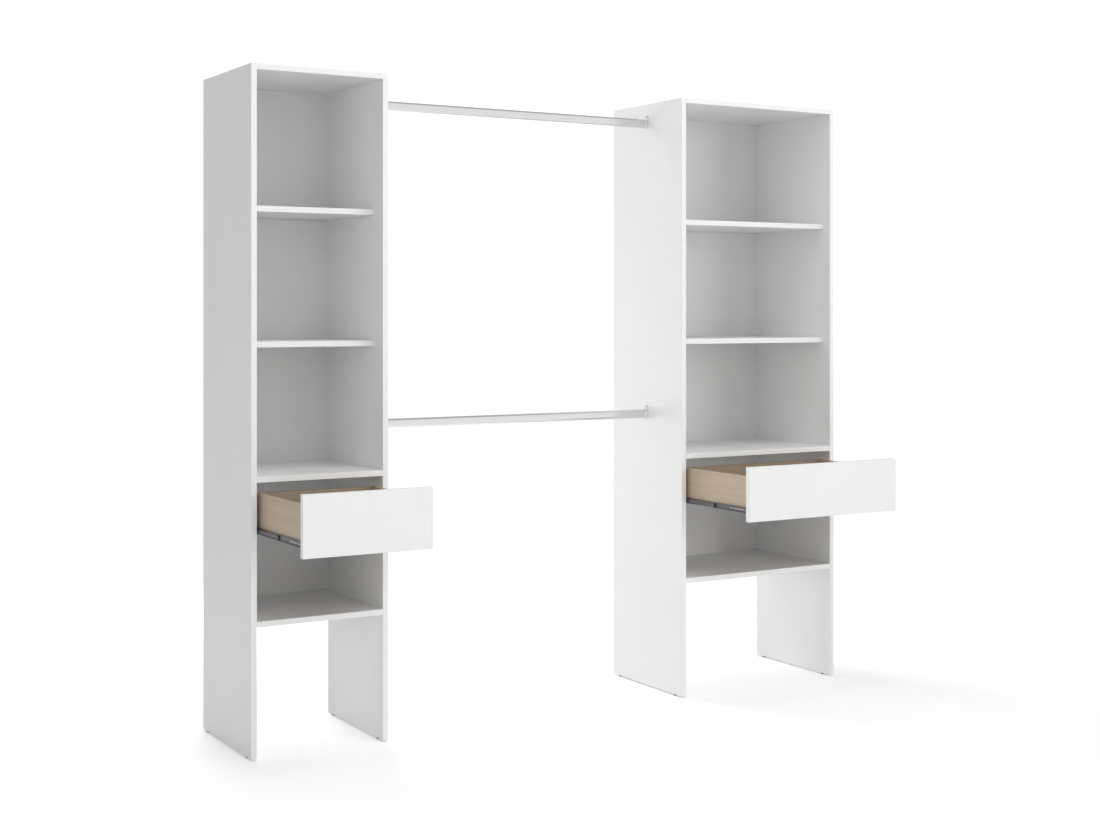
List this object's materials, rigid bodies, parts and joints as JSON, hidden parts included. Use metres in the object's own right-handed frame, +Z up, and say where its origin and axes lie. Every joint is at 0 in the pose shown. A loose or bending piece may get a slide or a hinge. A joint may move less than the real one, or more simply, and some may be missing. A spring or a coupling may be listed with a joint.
{
  "type": "wardrobe",
  "caption": "Open wardrobe: a narrow and a wide shelf column with loose and fixed shelves and pull-out drawers, joined by oval hanging rails, one above the other.",
  "frame": {"origin": "On the floor, under the centre of the overall box with both drawers pulled out.", "axes": "+X runs along the front from the narrow column to the wide one, +Y from the front to the back, +Z up."},
  "size_m": [2.273, 0.797, 2.105],
  "materials": {
    "white_board": "satin white melamine facing on particle board",
    "white_hardboard": "thin hardboard, lacquered white on its front face",
    "oak_board": "light oak print with a fine straight grain",
    "beech": "raw beech",
    "zinc_plated_steel": "bright zinc plating",
    "runner_steel": "dark grey passivated zinc plating",
    "cage_steel": "greased steel",
    "chromed_tube": "bright chrome on thin steel tube",
    "chromed_bracket": "chromed zinc casting",
    "dark_plastic": "matt",
    "pale_plastic": "matt"
  },
  "bodies": {
    "cabinet": {"left_outer_panel": "white_board", "left_inner_panel": "white_board", "left_top_panel": "white_board", "left_upper_shelf": "white_board", "left_lower_shelf": "white_board", "left_fixed_shelf": "white_board", "left_bottom_shelf": "white_board", "left_back_panel": "white_hardboard", "right_inner_panel": "white_board", "right_outer_panel": "white_board", "right_top_panel": "white_board", "right_upper_shelf": "white_board", "right_lower_shelf": "white_board", "right_fixed_shelf": "white_board", "right_bottom_shelf": "white_board", "right_back_panel": "white_hardboard", "shelf_pins": "zinc_plated_steel", "cam_locks": "zinc_plated_steel", "cam_bolts": "zinc_plated_steel", "dowels": "beech", "back_nails": "zinc_plated_steel", "floor_glides": "dark_plastic", "upper_rail": "chromed_tube", "lower_rail": "chromed_tube", "upper_rail_brackets": "chromed_bracket", "lower_rail_brackets": "chromed_bracket", "bracket_screws": "zinc_plated_steel", "runner_screws": "zinc_plated_steel", "left_drawer_left_fixed_channel": "runner_steel", "left_drawer_right_fixed_channel": "runner_steel", "right_drawer_left_fixed_channel": "runner_steel", "right_drawer_right_fixed_channel": "runner_steel"},
    "left_drawer": {"left_drawer_front": "white_board", "left_drawer_left_side": "oak_board", "left_drawer_right_side": "oak_board", "left_drawer_back": "oak_board", "left_drawer_bottom": "oak_board", "left_drawer_fasteners": "zinc_plated_steel", "left_drawer_dowels": "beech", "left_drawer_left_moving_channel": "runner_steel", "left_drawer_right_moving_channel": "runner_steel", "left_drawer_release_levers": "pale_plastic"},
    "left_drawer_middle_beams": {"left_drawer_left_middle_beam": "runner_steel", "left_drawer_right_middle_beam": "runner_steel"},
    "left_drawer_fixed_side_cages": {"left_drawer_fixed_cages": "cage_steel"},
    "left_drawer_moving_side_cages": {"left_drawer_moving_cages": "cage_steel"},
    "right_drawer": {"right_drawer_front": "white_board", "right_drawer_left_side": "oak_board", "right_drawer_right_side": "oak_board", "right_drawer_back": "oak_board", "right_drawer_bottom": "oak_board", "right_drawer_fasteners": "zinc_plated_steel", "right_drawer_dowels": "beech", "right_drawer_left_moving_channel": "runner_steel", "right_drawer_right_moving_channel": "runner_steel", "right_drawer_release_levers": "pale_plastic"},
    "right_drawer_middle_beams": {"right_drawer_left_middle_beam": "runner_steel", "right_drawer_right_middle_beam": "runner_steel"},
    "right_drawer_fixed_side_cages": {"right_drawer_fixed_cages": "cage_steel"},
    "right_drawer_moving_side_cages": {"right_drawer_moving_cages": "cage_steel"}
  },
  "joints": [
    {"name": "left_drawer_slide", "type": "slide", "parent": "cabinet", "child": "left_drawer", "axis": [0, 1, 0], "range_m": [0, 0.357]},
    {"name": "left_drawer_middle_beams_slide", "type": "slide", "parent": "cabinet", "child": "left_drawer_middle_beams", "axis": [0, 1, 0], "range_m": [0, 0.1785]},
    {"name": "left_drawer_fixed_side_cages_slide", "type": "slide", "parent": "cabinet", "child": "left_drawer_fixed_side_cages", "axis": [0, 1, 0], "range_m": [0, 0.08925]},
    {"name": "left_drawer_moving_side_cages_slide", "type": "slide", "parent": "cabinet", "child": "left_drawer_moving_side_cages", "axis": [0, 1, 0], "range_m": [0, 0.26775]},
    {"name": "right_drawer_slide", "type": "slide", "parent": "cabinet", "child": "right_drawer", "axis": [0, 1, 0], "range_m": [0, 0.357]},
    {"name": "right_drawer_middle_beams_slide", "type": "slide", "parent": "cabinet", "child": "right_drawer_middle_beams", "axis": [0, 1, 0], "range_m": [0, 0.1785]},
    {"name": "right_drawer_fixed_side_cages_slide", "type": "slide", "parent": "cabinet", "child": "right_drawer_fixed_side_cages", "axis": [0, 1, 0], "range_m": [0, 0.08925]},
    {"name": "right_drawer_moving_side_cages_slide", "type": "slide", "parent": "cabinet", "child": "right_drawer_moving_side_cages", "axis": [0, 1, 0], "range_m": [0, 0.26775]}
  ],
  "couplings": [
    {"joint": "left_drawer_middle_beams_slide", "follows": "left_drawer_slide", "ratio": 0.5},
    {"joint": "left_drawer_fixed_side_cages_slide", "follows": "left_drawer_slide", "ratio": 0.25},
    {"joint": "left_drawer_moving_side_cages_slide", "follows": "left_drawer_slide", "ratio": 0.75},
    {"joint": "right_drawer_middle_beams_slide", "follows": "right_drawer_slide", "ratio": 0.5},
    {"joint": "right_drawer_fixed_side_cages_slide", "follows": "right_drawer_slide", "ratio": 0.25},
    {"joint": "right_drawer_moving_side_cages_slide", "follows": "right_drawer_slide", "ratio": 0.75}
  ]
}
